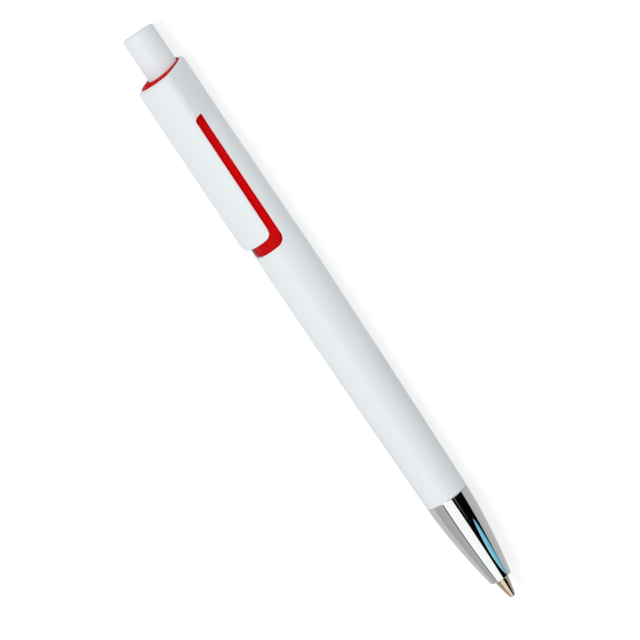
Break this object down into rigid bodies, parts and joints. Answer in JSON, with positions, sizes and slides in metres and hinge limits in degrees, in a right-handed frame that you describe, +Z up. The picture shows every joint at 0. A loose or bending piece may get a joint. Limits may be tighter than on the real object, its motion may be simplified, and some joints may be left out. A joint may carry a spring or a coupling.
{
  "type": "ballpoint pen",
  "caption": "Slim retractable ballpoint pen: white shell with a flush tongue clip in a red-edged window, white push button at the back and a bright metal cone round the point.",
  "frame": {"origin": "under the middle of the pen's length, on the surface it lies on", "axes": "+X along the pen towards the push button, +Z up through the clip, the point faces -X"},
  "size_m": [0.1406, 0.011, 0.0125],
  "materials": {
    "white_plastic": "satin white moulded plastic",
    "red_plastic": "smooth bright red moulded plastic",
    "natural_plastic": "milky white low-friction plastic",
    "blue_ink": "dark blue writing paste",
    "chrome_plate": "bright chrome plate",
    "nickel_silver": "turned nickel silver, lightly polished",
    "spring_steel": "drawn spring wire"
  },
  "bodies": {
    "barrel": {"barrel_shell": "white_plastic", "inner_sleeve": "red_plastic", "spring": "spring_steel"},
    "clip": {"clip": "white_plastic"},
    "nose": {"nose_cone": "chrome_plate"},
    "button": {"button_cap": "white_plastic", "drive_cam": "natural_plastic"},
    "refill": {"point_holder": "natural_plastic", "ink_tube": "natural_plastic", "ink": "blue_ink", "writing_point": "nickel_silver"},
    "rotor": {"rotor_cam": "natural_plastic"},
    "ball": {"writing_ball": "nickel_silver"}
  },
  "joints": [
    {"name": "button_slide", "type": "slide", "parent": "barrel", "child": "button", "axis": [1, 0, 0], "range_m": [-0.0015, 0.005], "stiffness_N_per_m": 250},
    {"name": "refill_slide", "type": "slide", "parent": "barrel", "child": "refill", "axis": [1, 0, 0], "range_m": [-0.0015, 0.005], "deforming": ["spring"]},
    {"name": "rotor_turn", "type": "hinge", "parent": "refill", "child": "rotor", "pos_m": [0.034, 0, 0.00549], "axis": [1, 0, 0], "continuous": true},
    {"name": "ball_roll", "type": "hinge", "parent": "refill", "child": "ball", "pos_m": [-0.06985, 0, 0.00549], "axis": [0, 1, 0], "continuous": true},
    {"name": "clip_flex", "type": "hinge", "parent": "barrel", "child": "clip", "pos_m": [0.0479, 0, 0.01253], "axis": [0, 1, 0], "range_deg": [-0.5, 3.5], "stiffness_Nm_per_rad": 2.4},
    {"name": "nose_draw", "type": "slide", "parent": "barrel", "child": "nose", "axis": [-1, 0, 0], "range_m": [0, 0.012]}
  ],
  "couplings": [
    {"joint": "refill_slide", "follows": "button_slide", "ratio": 1}
  ]
}
